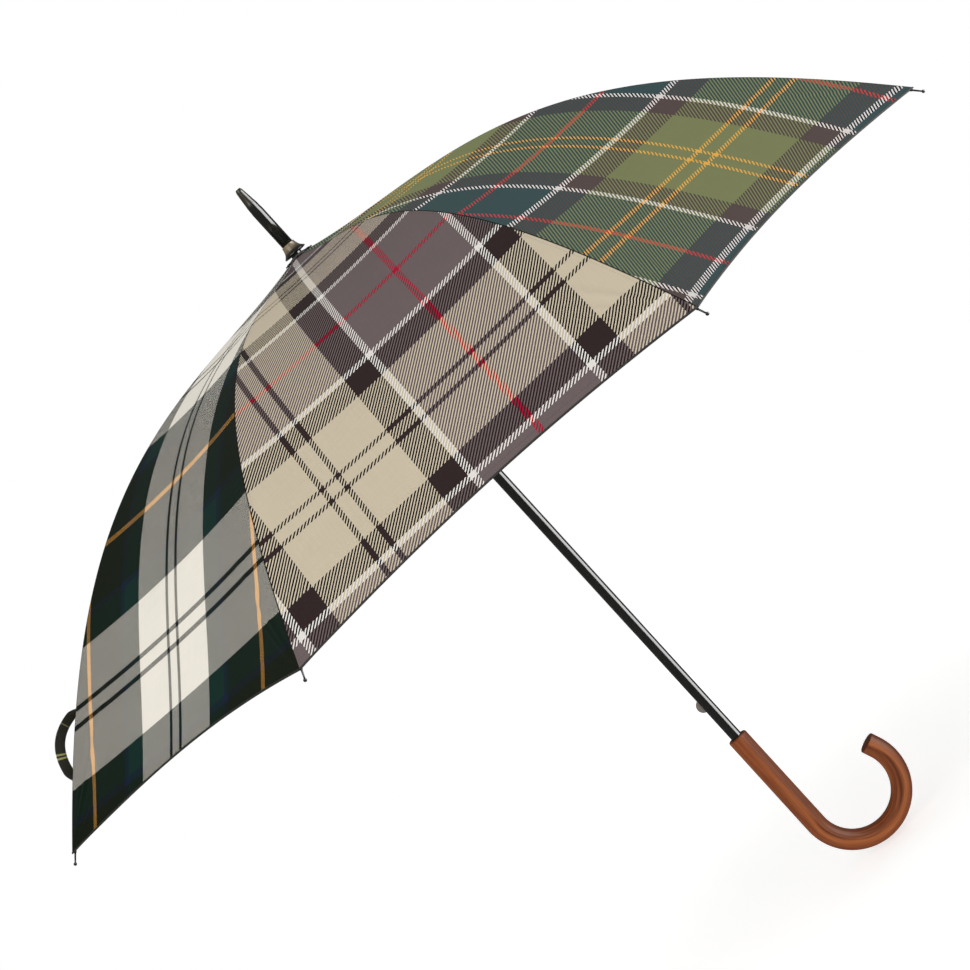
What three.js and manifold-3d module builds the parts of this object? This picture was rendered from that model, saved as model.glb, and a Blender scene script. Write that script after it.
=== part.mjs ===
// Stick umbrella with eight ribs and a crook handle, modelled open.
// Millimetres. +Z runs up the shaft to the spike, the crook hooks towards +X, and the origin is on the
// shaft's axis in the middle of the grip. Ribs are numbered anticlockwise seen from the spike, starting
// 22.5 degrees from +X, and panel n lies between rib n and the next one.
import * as THREE from 'three';
import { mergeVertices } from 'three/addons/utils/BufferGeometryUtils.js';
import Module from 'manifold-3d';

const wasm = await Module();
wasm.setup();

// Driving dimensions.
const RIBS = 8;
const HALF_BAY = Math.PI / RIBS;
const CROWN_Z = 700;
const FIT_RADIUS = 558.4; // radius and drop over which the canopy's meridian is written
const FIT_DROP = 280.1;
const MERIDIAN = [0.5395, -1.6105, 3.399, -1.328]; // drop / FIT_DROP = sum of MERIDIAN[i] t^(i+1)
const CORNER_RADIUS = 553; // the cloth's corners
const PANEL_THICKNESS = 0.6;
const HEM_TRIM = 14.4; // how much shorter a panel is at its middle, in radius
const PANEL_DISH = 11; // how far tension draws a panel's middle in at the hem
const DISH_POWER = 1.6;
const SEAM_GAP = 0.25; // half the gap between neighbouring panels
const CROWN_HOLE = 7.4; // the cloth starts here, around the shaft

const SHAFT_RADIUS = 6;
const SHAFT_BORE = 5.2;
const SHAFT_BOTTOM = -15;
const SHAFT_TOP = 703;
const CLEAR = 0.35;

const PIVOT_RADIUS = 11; // both the rib pivots and the stretcher feet stand this far from the axis
const ELBOW_RADIUS = 270; // where a rib's channel ends and its spring end starts
const STRETCHER_DROP = 4.5; // the stretcher's rivet below the rib's centre line
const RIB_GAP = 3.6; // rib's centre line below the cloth
const TIP_GAP = 2.8; // the same at the rib's tip
const CHANNEL_WIDTH = 3.4;
const CHANNEL_HEIGHT = 3;
const CHANNEL_WALL = 0.6;
const STRIP_WIDTH = 1.5; // tongue, stretcher and spring end lie between the channel's walls
const EYE_RADIUS = 1.8;
const RIVET_RADIUS = 0.65;
const RIVET_LENGTH = 3.8;
const SPRING_HEIGHT = 2.2;
const TIP_START = 549; // radius where the metal tip takes over from the spring end
const TIP_LENGTH = 17;
const BALL_RADIUS = 1.6;

const NOTCH_TOP = 695.2;
const NOTCH_BOTTOM = 690;
const CROWN_RING_RADIUS = 14;
const SLOT_FLOOR = 8.9;
const SLOT_WIDTH = 2.4;
const WIRE_RADIUS = 0.6;

const RUNNER_SKIRT = 75.4; // sleeve below the stretcher feet
const RUNNER_HEAD = 3.2;
const RUNNER_BORE = 6.35;
const RUNNER_RADIUS = 7.3;
const RUNNER_WIRE_RING = 8.2;

const CATCH_LENGTH = 14;
const CATCH_PROUD = 5;
const CATCH_WIDTH = 1.4;
const BOTTOM_CATCH_Z = 105;

const HANDLE_RADIUS = 10.6;
const HANDLE_TOP = 60;
const CROOK_Z = -57.2;
const CROOK_RADIUS = 48.5;
const CROOK_TURN = THREE.MathUtils.degToRad(201);
const CROOK_RUN = 10;
const HANDLE_SIDES = 16;

const SPIKE_RADIUS = 6.25;
const SPIKE_BOTTOM = 703.5;
const SPIKE_TIP = 785;
const CUP_RADIUS = 12.5;
const ROSETTE_RADIUS = 17;
const ROSETTE_TEETH = 24;

const STRAP_WIDTH = 10;
const STRAP_THICKNESS = 1;

const material = (color, roughness, metalness) =>
  new THREE.MeshStandardMaterial({ color, roughness, metalness });
const BLACK_METAL = material(0x0b0b0d, 0.25, 0.6);
const STEEL = material(0x9a9a98, 0.3, 1);
const DARK_STEEL = material(0x303034, 0.4, 0.9);
const BLACK_PLASTIC = material(0x141415, 0.45, 0);
const WOOD = material(0x7a3420, 0.4, 0);
const CLOTHS = [0xb9ad95, 0x56614a, 0x2c4436, 0x2a3142].map((color) => material(color, 0.85, 0));
const DARK_CLOTH = material(0x26261c, 0.9, 0);

const umbrella = new THREE.Group();

// Closed solids and their joins.

function weld(geometry) {
  const bare = geometry.clone();
  bare.deleteAttribute('normal');
  bare.deleteAttribute('uv');
  return mergeVertices(bare, 1e-4);
}

function solid(geometry) {
  const welded = weld(geometry);
  const vertProperties = Float32Array.from(welded.attributes.position.array);
  const triVerts = Uint32Array.from(welded.index.array);
  return new wasm.Manifold(new wasm.Mesh({ numProp: 3, vertProperties, triVerts }));
}

function geometryOf(manifold) {
  const mesh = manifold.getMesh();
  const geometry = new THREE.BufferGeometry();
  geometry.setAttribute('position', new THREE.BufferAttribute(mesh.vertProperties, 3));
  geometry.setIndex(new THREE.BufferAttribute(mesh.triVerts, 1));
  geometry.computeVertexNormals();
  return geometry;
}

const join = (...geometries) => geometryOf(geometries.map(solid).reduce((a, b) => a.add(b)));

const cut = (geometry, ...tools) =>
  geometryOf(tools.map(solid).reduce((left, tool) => left.subtract(tool), solid(geometry)));

function add(parent, name, geometry, finish) {
  const mesh = new THREE.Mesh(geometry, finish);
  mesh.name = name;
  parent.add(mesh);
  return mesh;
}

// Plain shapes.

/** Solid of revolution about Z, from [radius, z] points that start and end on the axis or close. */
function turned(points, sides = 24) {
  const profile = points.map(([radius, z]) => new THREE.Vector2(radius, z));
  return new THREE.LatheGeometry(profile, sides).rotateX(Math.PI / 2);
}

/** Ring of rectangular section about Z. */
const ring = (inner, outer, bottom, top, sides = 24) =>
  turned([[inner, bottom], [outer, bottom], [outer, top], [inner, top], [inner, bottom]], sides);

/** Wire ring about Z at height z. */
const wireRing = (radius, wire, z) => new THREE.TorusGeometry(radius, wire, 5, 32).translate(0, 0, z);

/** Box between two corners. */
function block(low, high) {
  const size = high.map((value, i) => value - low[i]);
  const middle = high.map((value, i) => (value + low[i]) / 2);
  return new THREE.BoxGeometry(...size).translate(...middle);
}

/** Round pin along Y through the point [x, z]. */
const crossPin = ([x, z], radius, length, sides = 8) =>
  new THREE.CylinderGeometry(radius, radius, length, sides).translate(x, 0, z);

/** Outline in the XZ plane around the line from a to b, with round ends, and round holes through it. */
function capsule(a, b, radius, holes = []) {
  const along = Math.atan2(b[1] - a[1], b[0] - a[0]);
  const shape = new THREE.Shape();
  shape.absarc(b[0], b[1], radius, along - Math.PI / 2, along + Math.PI / 2);
  shape.absarc(a[0], a[1], radius, along + Math.PI / 2, along + Math.PI * 1.5);
  for (const [[x, z], holeRadius] of holes) {
    shape.holes.push(new THREE.Path().absarc(x, z, holeRadius, 0, Math.PI * 2, true));
  }
  return shape;
}

/** Plate of an XZ outline, its thickness centred on y. */
function plate(shape, y, thickness, curveSegments = 3) {
  const geometry = new THREE.ExtrudeGeometry(shape, { depth: thickness, bevelEnabled: false, curveSegments });
  return geometry.rotateX(Math.PI / 2).translate(0, y + thickness / 2, 0);
}

/** Bar of a flat outline swept along [x, z] points; the outline's y runs to the points' underside. */
function swept(outline, points, steps) {
  const shape = new THREE.Shape(outline.map(([across, down]) => new THREE.Vector2(across, down)));
  const extrudePath = new THREE.CatmullRomCurve3(points.map(([x, z]) => new THREE.Vector3(x, 0, z)));
  return new THREE.ExtrudeGeometry(shape, { steps, extrudePath, bevelEnabled: false });
}

const rectangle = (width, height) => [
  [-width / 2, -height / 2], [width / 2, -height / 2], [width / 2, height / 2], [-width / 2, height / 2],
];

/** Closed shell between a grid of top points and the same grid moved by offset(point, row). */
function shell(rows, offset, wrapped) {
  const columns = rows[0].length;
  const under = rows.map((row, i) => row.map((point) => point.clone().add(offset(point, i))));
  const positions = [...rows.flat(), ...under.flat()].flatMap((point) => point.toArray());
  const at = (side, i, j) => side * rows.length * columns + i * columns + (j % columns);
  const index = [];
  const quad = (a, b, c, d) => index.push(a, b, c, a, c, d);
  const spans = wrapped ? columns : columns - 1;
  for (let j = 0; j < spans; j++) {
    for (let i = 0; i < rows.length - 1; i++) {
      quad(at(0, i, j), at(0, i + 1, j), at(0, i + 1, j + 1), at(0, i, j + 1));
      quad(at(1, i, j), at(1, i, j + 1), at(1, i + 1, j + 1), at(1, i + 1, j));
    }
    const last = rows.length - 1;
    quad(at(0, 0, j), at(0, 0, j + 1), at(1, 0, j + 1), at(1, 0, j));
    quad(at(0, last, j), at(1, last, j), at(1, last, j + 1), at(0, last, j + 1));
  }
  if (!wrapped) {
    const end = columns - 1;
    for (let i = 0; i < rows.length - 1; i++) {
      quad(at(0, i, 0), at(1, i, 0), at(1, i + 1, 0), at(0, i + 1, 0));
      quad(at(0, i, end), at(0, i + 1, end), at(1, i + 1, end), at(1, i, end));
    }
  }
  const geometry = new THREE.BufferGeometry();
  geometry.setAttribute('position', new THREE.Float32BufferAttribute(positions, 3));
  geometry.setIndex(index);
  geometry.computeVertexNormals();
  return geometry;
}

// The canopy's surface and the lines that hang from it.

function clothZ(radius) {
  const t = radius / FIT_RADIUS;
  return CROWN_Z - FIT_DROP * MERIDIAN.reduce((sum, factor, i) => sum + factor * t ** (i + 1), 0);
}

/** Angle of the cloth below the horizontal at a rib. */
function clothSlope(radius) {
  const t = radius / FIT_RADIUS;
  const fall = MERIDIAN.reduce((sum, factor, i) => sum + factor * (i + 1) * t ** i, 0);
  return Math.atan((FIT_DROP / FIT_RADIUS) * fall);
}

/** Point [x, z] of a rib's centre line, square under the cloth. */
function ribPoint(radius) {
  const outward = Math.max(0, (radius - ELBOW_RADIUS) / (CORNER_RADIUS - ELBOW_RADIUS));
  const gap = RIB_GAP + (TIP_GAP - RIB_GAP) * outward;
  const slope = clothSlope(radius);
  return [radius - gap * Math.sin(slope), clothZ(radius) - gap * Math.cos(slope)];
}

function ribLine(start, end, count) {
  return Array.from({ length: count + 1 }, (_, i) => ribPoint(start + ((end - start) * i) / count));
}

/** Point of a panel in its own frame: +X at the panel's middle, across runs from -1 to 1. */
function panelPoint(across, radius) {
  const slope = clothSlope(radius);
  const dish = PANEL_DISH * (radius / CORNER_RADIUS) ** DISH_POWER * (1 - across ** 2);
  return new THREE.Vector3(
    radius * Math.cos(HALF_BAY) - dish * Math.sin(slope),
    across * radius * Math.sin(HALF_BAY),
    clothZ(radius) - dish * Math.cos(slope),
  );
}

/** Step through the cloth's thickness at a point. */
function throughCloth(point) {
  const radius = Math.hypot(point.x, point.y);
  const slope = clothSlope(radius);
  const inward = (-PANEL_THICKNESS * Math.sin(slope)) / radius;
  return new THREE.Vector3(point.x * inward, point.y * inward, -PANEL_THICKNESS * Math.cos(slope));
}

function panelGeometry(lengthSteps = 14, acrossSteps = 6) {
  const rows = [];
  for (let i = 0; i <= lengthSteps; i++) {
    const row = [];
    for (let j = 0; j <= acrossSteps; j++) {
      const side = (2 * j) / acrossSteps - 1;
      const end = CORNER_RADIUS - HEM_TRIM * (1 - side ** 2);
      const radius = CROWN_HOLE + (end - CROWN_HOLE) * (i / lengthSteps);
      const edge = 1 - SEAM_GAP / (radius * Math.sin(HALF_BAY));
      row.push(panelPoint(side * edge, radius));
    }
    rows.push(row);
  }
  return shell(rows, throughCloth, false);
}

// The frame's pivots, in the plane of a rib.

const tonguePivot = [PIVOT_RADIUS, ribPoint(PIVOT_RADIUS)[1]];
const elbow = ribPoint(ELBOW_RADIUS);
const elbowSlope = clothSlope(ELBOW_RADIUS);
const stretcherPivot = [
  elbow[0] - STRETCHER_DROP * Math.sin(elbowSlope),
  elbow[1] - STRETCHER_DROP * Math.cos(elbowSlope),
];
const footPivot = [PIVOT_RADIUS, 2 * stretcherPivot[1] - tonguePivot[1]];
const RUNNER_Z = footPivot[1];
const TOP_CATCH_Z = RUNNER_Z - RUNNER_SKIRT - 0.5 - CATCH_LENGTH / 2;

// Moving frame.

/** Pressed channel with a tongue and eye at the crown and two ears at the elbow. */
function ribGeometry() {
  const half = CHANNEL_WIDTH / 2;
  const inside = half - CHANNEL_WALL;
  const top = -CHANNEL_HEIGHT / 2;
  const outline = [
    [-half, top], [half, top], [half, -top], [inside, -top],
    [inside, top + CHANNEL_WALL], [-inside, top + CHANNEL_WALL], [-inside, -top], [-half, -top],
  ];
  const channelStart = PIVOT_RADIUS + 6;
  const channel = swept(outline, ribLine(channelStart, ELBOW_RADIUS - 1.6, 10), 9);
  const root = ribPoint(channelStart + 3);
  const eye = plate(capsule(tonguePivot, root, 1.4), 0, STRIP_WIDTH);
  const boss = crossPin(tonguePivot, EYE_RADIUS, STRIP_WIDTH, 10);
  const wireHole = crossPin(tonguePivot, WIRE_RADIUS + CLEAR, 4);
  const ears = [-1, 1].map((side) => {
    const shape = capsule(elbow, stretcherPivot, 1.9);
    return plate(shape, side * (half - CHANNEL_WALL / 2), CHANNEL_WALL);
  });
  const holes = [elbow, stretcherPivot].map((pivot) => crossPin(pivot, RIVET_RADIUS + CLEAR, 8));
  return cut(join(channel, eye, boss, ...ears), wireHole, ...holes);
}

/** Flat spring strip from the elbow to the tip, with its rivet. */
function ribEndGeometry() {
  const strip = swept(rectangle(STRIP_WIDTH, SPRING_HEIGHT), ribLine(ELBOW_RADIUS, TIP_START, 12), 12);
  const knuckle = crossPin(elbow, SPRING_HEIGHT / 2, STRIP_WIDTH, 10);
  return join(strip, knuckle, crossPin(elbow, RIVET_RADIUS, RIVET_LENGTH));
}

/** Straight strut from the runner to the elbow, with the rivet that the rib's ears carry. */
function stretcherGeometry() {
  const outline = capsule(footPivot, stretcherPivot, 1.3);
  const strut = plate(outline, 0, STRIP_WIDTH);
  const eyes = [footPivot, stretcherPivot].map((pivot) => crossPin(pivot, EYE_RADIUS, STRIP_WIDTH, 10));
  const body = cut(join(strut, ...eyes), crossPin(footPivot, RIVET_RADIUS + 0.2, 4));
  return join(body, crossPin(stretcherPivot, RIVET_RADIUS, RIVET_LENGTH));
}

/** Turned tip: a short socket, a wire neck and a ball, along +Z from its own origin. */
function tipGeometry() {
  const ball = TIP_LENGTH - BALL_RADIUS;
  const cap = [-0.85, -0.3, 0.3, 0.8].map((sine) => [
    BALL_RADIUS * Math.sqrt(1 - sine ** 2), ball + BALL_RADIUS * sine,
  ]);
  return turned([[0, 0], [1.3, 0], [1.3, 4.5], [0.85, 6.5], ...cap, [0, TIP_LENGTH]], 8);
}

function addRib(number) {
  const bay = new THREE.Group();
  bay.rotation.z = (2 * number - 1) * HALF_BAY;
  add(bay, `rib_${number}`, ribGeometry(), STEEL);
  add(bay, `rib_end_${number}`, ribEndGeometry(), STEEL);
  add(bay, `stretcher_${number}`, stretcherGeometry(), STEEL);
  const tip = add(bay, `tip_${number}`, tipGeometry(), BLACK_METAL);
  const slope = clothSlope(TIP_START);
  const [x, z] = ribPoint(TIP_START);
  tip.position.set(x + CLEAR * Math.cos(slope), 0, z - CLEAR * Math.sin(slope));
  tip.rotation.y = Math.PI / 2 + slope;
  umbrella.add(bay);
}

function addPanel(number) {
  const bay = new THREE.Group();
  bay.rotation.z = 2 * number * HALF_BAY;
  add(bay, `panel_${number}`, panelGeometry(), CLOTHS[number % CLOTHS.length]);
  umbrella.add(bay);
}

/** Radial slots for the strips, open above, below and outside. */
function ribSlots(floor, bottom, top) {
  return Array.from({ length: RIBS }, (_, i) => {
    const slot = block([floor, -SLOT_WIDTH / 2, bottom], [30, SLOT_WIDTH / 2, top]);
    return slot.rotateZ((2 * i + 1) * HALF_BAY);
  });
}

function topNotch() {
  const body = ring(SHAFT_RADIUS + CLEAR, CROWN_RING_RADIUS, NOTCH_BOTTOM, NOTCH_TOP, 32);
  const pivotZ = tonguePivot[1];
  const groove = ring(PIVOT_RADIUS - 1, PIVOT_RADIUS + 1, pivotZ - 1, NOTCH_TOP + 1, 32);
  return cut(body, groove, ...ribSlots(SLOT_FLOOR, NOTCH_BOTTOM - 1, NOTCH_TOP + 1));
}

/** Sleeve with a slotted head, a finger ring and a window that the lower catch snaps into. */
function runnerGeometry() {
  const bottom = RUNNER_Z - RUNNER_SKIRT;
  const top = RUNNER_Z + RUNNER_HEAD;
  const profile = [
    [RUNNER_BORE, bottom], [8.1, bottom], [8.1, bottom + 2.2], [RUNNER_RADIUS, bottom + 3],
    [RUNNER_RADIUS, RUNNER_Z - 9], [CROWN_RING_RADIUS, RUNNER_Z - 3.6], [CROWN_RING_RADIUS, top - 0.6],
    [CROWN_RING_RADIUS - 0.6, top], [RUNNER_BORE, top], [RUNNER_BORE, bottom],
  ];
  const wire = ring(RUNNER_WIRE_RING - 0.75, RUNNER_WIRE_RING + 0.75, RUNNER_Z - 0.8, top + 1, 32);
  const windowBottom = BOTTOM_CATCH_Z - CATCH_LENGTH / 2 - 1.4;
  const lift = bottom + 2.6 - windowBottom;
  const windowTop = BOTTOM_CATCH_Z + CATCH_LENGTH / 2 + 2.2;
  const width = CATCH_WIDTH / 2 + 0.7;
  const opening = block([-12, -width, windowBottom + lift], [0, width, windowTop + lift]);
  return cut(turned(profile, 32), wire, opening, ...ribSlots(SLOT_FLOOR, RUNNER_Z - 12, top + 1));
}

/** Leaf and fin that stand out of the shaft towards -X; flatTop makes a ledge for the runner. */
function catchGeometry(z, flatTop) {
  const half = CATCH_LENGTH / 2;
  const proud = -SHAFT_RADIUS - CATCH_PROUD;
  const fin = new THREE.Shape();
  fin.moveTo(-3.6, z - half);
  fin.lineTo(-SHAFT_RADIUS, z - half);
  if (flatTop) {
    fin.lineTo(proud, z + half - 5);
    fin.lineTo(proud, z + half);
  } else {
    fin.absarc(-SHAFT_RADIUS + 2.4, z, half + 0.4, Math.PI * 1.36, Math.PI * 0.64, true);
  }
  fin.lineTo(-SHAFT_RADIUS, z + half);
  fin.lineTo(-3.6, z + half);
  fin.closePath();
  const leaf = block([-4.4, -1.6, z - half - 4], [-3.4, 1.6, z + half + 4]);
  return join(plate(fin, 0, CATCH_WIDTH, 10), leaf);
}

function shaftTube() {
  const tube = ring(SHAFT_BORE, SHAFT_RADIUS, SHAFT_BOTTOM, SHAFT_TOP, 32);
  const slots = [TOP_CATCH_Z, BOTTOM_CATCH_Z].map((z) => {
    const half = CATCH_LENGTH / 2 + 0.6;
    return block([-9, -CATCH_WIDTH / 2 - 0.4, z - half], [0, CATCH_WIDTH / 2 + 0.4, z + half]);
  });
  return cut(tube, ...slots);
}

// Handle and top fittings.

/** Bent wooden stick: a straight grip with a rounded top and a blind bore, the crook, a straight end. */
function handleGeometry() {
  const boreFloor = SHAFT_BOTTOM - 1;
  const grip = turned([
    [0, CROOK_Z], [HANDLE_RADIUS, CROOK_Z], [HANDLE_RADIUS, HANDLE_TOP - 1.6],
    [HANDLE_RADIUS - 0.5, HANDLE_TOP - 0.5], [HANDLE_RADIUS - 1.6, HANDLE_TOP],
    [SHAFT_RADIUS + CLEAR, HANDLE_TOP], [SHAFT_RADIUS + CLEAR, boreFloor], [0, boreFloor],
  ], HANDLE_SIDES);
  const bend = new THREE.ArcCurve(CROOK_RADIUS, 0, CROOK_RADIUS, Math.PI, Math.PI + CROOK_TURN);
  const points = bend.getSpacedPoints(22).map(({ x, y }) => [x, CROOK_Z + y]);
  const section = Array.from({ length: HANDLE_SIDES }, (_, i) => {
    const angle = (2 * Math.PI * i) / HANDLE_SIDES;
    return [HANDLE_RADIUS * Math.cos(angle), HANDLE_RADIUS * Math.sin(angle)];
  });
  const end = turned([
    [0, -1], [HANDLE_RADIUS, -1], [HANDLE_RADIUS, CROOK_RUN], [HANDLE_RADIUS - 1, CROOK_RUN + 1.2],
    [0, CROOK_RUN + 1.2],
  ], HANDLE_SIDES);
  end.rotateY(Math.PI - CROOK_TURN);
  end.translate(CROOK_RADIUS * (1 - Math.cos(CROOK_TURN)), 0, CROOK_Z - CROOK_RADIUS * Math.sin(CROOK_TURN));
  return join(grip, swept(section, points, 22), end);
}

const spikeGeometry = () => turned([
  [0, SPIKE_BOTTOM], [SPIKE_RADIUS, SPIKE_BOTTOM], [SPIKE_RADIUS, SPIKE_TIP - 28],
  [SPIKE_RADIUS - 0.5, SPIKE_TIP - 20], [SPIKE_RADIUS - 2.4, SPIKE_TIP - 4],
  [SPIKE_RADIUS - 3.1, SPIKE_TIP - 1], [SPIKE_RADIUS - 3.8, SPIKE_TIP], [0, SPIKE_TIP],
]);

/** Flared collar between the spike and the canopy. */
const cupGeometry = () => turned([
  [SPIKE_RADIUS + CLEAR, CROWN_Z + 3.4], [CUP_RADIUS - 0.6, CROWN_Z + 1.6], [CUP_RADIUS, CROWN_Z + 2.4],
  [9.6, CROWN_Z + 5.4], [7.6, CROWN_Z + 10], [7.2, CROWN_Z + 13], [SPIKE_RADIUS + CLEAR, CROWN_Z + 13],
  [SPIKE_RADIUS + CLEAR, CROWN_Z + 3.4],
], 28);

/** Disc of pinked cloth, ruffled at its toothed edge, that covers the panels' points. */
function rosetteGeometry() {
  const turns = ROSETTE_TEETH * 2;
  const rows = [SHAFT_RADIUS + 0.5, 12, ROSETTE_RADIUS].map((radius, i) =>
    Array.from({ length: turns }, (_, j) => {
      const angle = (2 * Math.PI * j) / turns;
      const reach = i === 2 ? radius - 1.4 * (j % 2) : radius;
      const ruffle = i === 2 ? 1 + Math.sin(angle * 7) : 0;
      const lift = 1.1 - 0.05 * i + 0.5 * ruffle;
      return new THREE.Vector3(
        reach * Math.cos(angle), reach * Math.sin(angle), clothZ(radius) + PANEL_THICKNESS + lift,
      );
    }));
  return shell(rows, () => new THREE.Vector3(0, 0, -PANEL_THICKNESS), true);
}

// Closing strap: a band looped back on itself, standing off panel 4 near rib 5, its middle turned aside.

const STRAP_PANEL = 4;
const STRAP_ACROSS = 0.88;
const STRAP_RADII = [463, 511];
const STRAP_STAND = 16;
const STRAP_TWIST = THREE.MathUtils.degToRad(55);

function strapGeometry(steps = 14) {
  const [start, end] = STRAP_RADII.map((radius) => panelPoint(STRAP_ACROSS, radius));
  const slope = clothSlope((STRAP_RADII[0] + STRAP_RADII[1]) / 2);
  const outward = new THREE.Vector3(Math.sin(slope), 0, Math.cos(slope));
  const middle = (t) => {
    const rise = 2 + STRAP_STAND * Math.sin(Math.PI * t) ** 0.8;
    return start.clone().lerp(end, t).addScaledVector(outward, rise);
  };
  const faces = [];
  const rows = Array.from({ length: steps + 1 }, (_, i) => {
    const t = i / steps;
    const along = middle(Math.min(1, t + 0.02)).sub(middle(Math.max(0, t - 0.02))).normalize();
    const twist = STRAP_TWIST * Math.min(1, 3 * Math.sin(Math.PI * t));
    const side = new THREE.Vector3(0, 1, 0).applyAxisAngle(along, twist);
    faces.push(side.clone().cross(along));
    side.multiplyScalar(STRAP_WIDTH / 2);
    return [middle(t).sub(side), middle(t).add(side)];
  });
  return shell(rows, (_, i) => faces[i].clone().multiplyScalar(STRAP_THICKNESS), false);
}

function addStrap() {
  const bay = new THREE.Group();
  bay.rotation.z = 2 * STRAP_PANEL * HALF_BAY;
  add(bay, 'tie_strap', strapGeometry(), DARK_CLOTH);
  umbrella.add(bay);
}

add(umbrella, 'shaft_tube', shaftTube(), BLACK_METAL);
add(umbrella, 'handle', handleGeometry(), WOOD);
add(umbrella, 'ferrule_spike', spikeGeometry(), BLACK_METAL);
add(umbrella, 'ferrule_cup', cupGeometry(), BLACK_METAL);
add(umbrella, 'crown_rosette', rosetteGeometry(), DARK_CLOTH);
add(umbrella, 'top_notch', topNotch(), BLACK_PLASTIC);
add(umbrella, 'notch_wire', wireRing(PIVOT_RADIUS, WIRE_RADIUS, tonguePivot[1]), STEEL);
add(umbrella, 'runner', runnerGeometry(), BLACK_PLASTIC);
add(umbrella, 'runner_wire', wireRing(RUNNER_WIRE_RING, 0.4, RUNNER_Z), STEEL);
add(umbrella, 'stop_collar', ring(SHAFT_RADIUS + CLEAR, 7.4, RUNNER_Z + 6, RUNNER_Z + 10), BLACK_PLASTIC);
add(umbrella, 'top_catch', catchGeometry(TOP_CATCH_Z, true), STEEL);
add(umbrella, 'bottom_catch', catchGeometry(BOTTOM_CATCH_Z, false), DARK_STEEL);
for (let number = 1; number <= RIBS; number++) {
  addRib(number);
  addPanel(number);
}
addStrap();

export default umbrella;
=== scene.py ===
# %% [markdown]
# # A stick umbrella with a check canopy
# A stick umbrella is a wooden crook, a lacquered tube, eight sprung ribs and eight cloth gores sewn
# into one tight sheet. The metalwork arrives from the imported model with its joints, and this lesson
# makes what shows most: the cloth, its hem and strap, the turned fittings, the bent handle, and a
# material for every piece. Each cell makes one thing and prints what it made.

# %% Load the frame
import math

import bpy
import numpy as np
from mathutils import Matrix, Vector


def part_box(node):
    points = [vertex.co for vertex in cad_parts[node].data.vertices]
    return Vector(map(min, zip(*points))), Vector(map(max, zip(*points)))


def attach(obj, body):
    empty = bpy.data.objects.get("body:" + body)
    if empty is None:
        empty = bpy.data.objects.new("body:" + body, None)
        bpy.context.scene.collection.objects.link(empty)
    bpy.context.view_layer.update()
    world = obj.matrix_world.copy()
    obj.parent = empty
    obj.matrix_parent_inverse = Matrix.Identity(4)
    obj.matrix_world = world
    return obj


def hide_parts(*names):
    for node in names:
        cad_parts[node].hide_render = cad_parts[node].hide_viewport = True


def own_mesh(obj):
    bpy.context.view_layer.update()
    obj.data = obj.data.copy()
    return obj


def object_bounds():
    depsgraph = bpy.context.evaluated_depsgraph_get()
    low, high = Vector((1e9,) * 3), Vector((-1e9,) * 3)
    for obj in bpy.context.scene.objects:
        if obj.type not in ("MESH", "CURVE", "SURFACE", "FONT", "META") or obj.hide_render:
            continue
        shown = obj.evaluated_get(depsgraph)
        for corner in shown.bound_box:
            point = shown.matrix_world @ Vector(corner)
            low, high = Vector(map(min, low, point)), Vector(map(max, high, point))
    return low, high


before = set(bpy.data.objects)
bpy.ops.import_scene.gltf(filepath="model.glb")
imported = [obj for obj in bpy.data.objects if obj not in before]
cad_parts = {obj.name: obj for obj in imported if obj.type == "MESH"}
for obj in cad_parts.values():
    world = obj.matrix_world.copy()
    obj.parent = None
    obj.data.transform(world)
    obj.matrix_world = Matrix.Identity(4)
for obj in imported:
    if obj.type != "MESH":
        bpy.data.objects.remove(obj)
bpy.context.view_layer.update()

# %% [markdown]
# ## Measures
# The spike's foot sits a little above the cloth's apex, and the panels reach to the corners, so both
# are read from the frame. A meridian of the canopy is a quartic: nearly flat over the crown, then
# falling ever faster to the tips, as a tight cloth over bent ribs does. One quartic is enough because
# all eight ribs are alike.

# %% Measures of the canopy
RIBS = 8
HALF_BAY = math.pi / RIBS
SPIKE_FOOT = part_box("ferrule_spike")[0][2]
SPIKE_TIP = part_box("ferrule_spike")[1][2]
CROWN_Z = SPIKE_FOOT - 0.0035
FIT_RADIUS = 0.5584
FIT_DROP = 0.2801
MERIDIAN = (0.5395, -1.6105, 3.399, -1.328)
CORNER_RADIUS = 0.553
CROWN_HOLE = 0.0074
PATCH_RADIUS = 0.0145
ELBOW_RADIUS = 0.270
HEM_TRIM = 0.0144
DISH = 0.011
DISH_POWER = 1.6


def cloth_height(radius):
    """Height of the cloth over a rib: the crown's height less the drop times a quartic of radius."""
    t = radius / FIT_RADIUS
    return CROWN_Z - FIT_DROP * sum(factor * t ** (i + 1) for i, factor in enumerate(MERIDIAN))


def cloth_slope(radius):
    """Angle of the cloth below the level: the arctangent of the quartic's derivative."""
    t = radius / FIT_RADIUS
    fall = sum(factor * (i + 1) * t**i for i, factor in enumerate(MERIDIAN))
    return np.arctan(FIT_DROP / FIT_RADIUS * fall)


print("crown at", round(CROWN_Z, 4), "corner at", round(float(cloth_height(CORNER_RADIUS)), 4))

# %% [markdown]
# ## Camera
# The camera stands level with the upper shaft, a little to one side, and is rolled so that the shaft
# runs from upper left to lower right. Its matrix is built from three square axes: back, right and up,
# then right and up are turned about back by the roll.

# %% Camera
CAMERA_TURN = math.radians(1.16)
CAMERA_RISE = math.radians(2.72)
CAMERA_ROLL = math.radians(-42.4)
CAMERA_DISTANCE = 2.592
CAMERA_TARGET = Vector((-0.016, 0, CROWN_Z - 0.2896))


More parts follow.
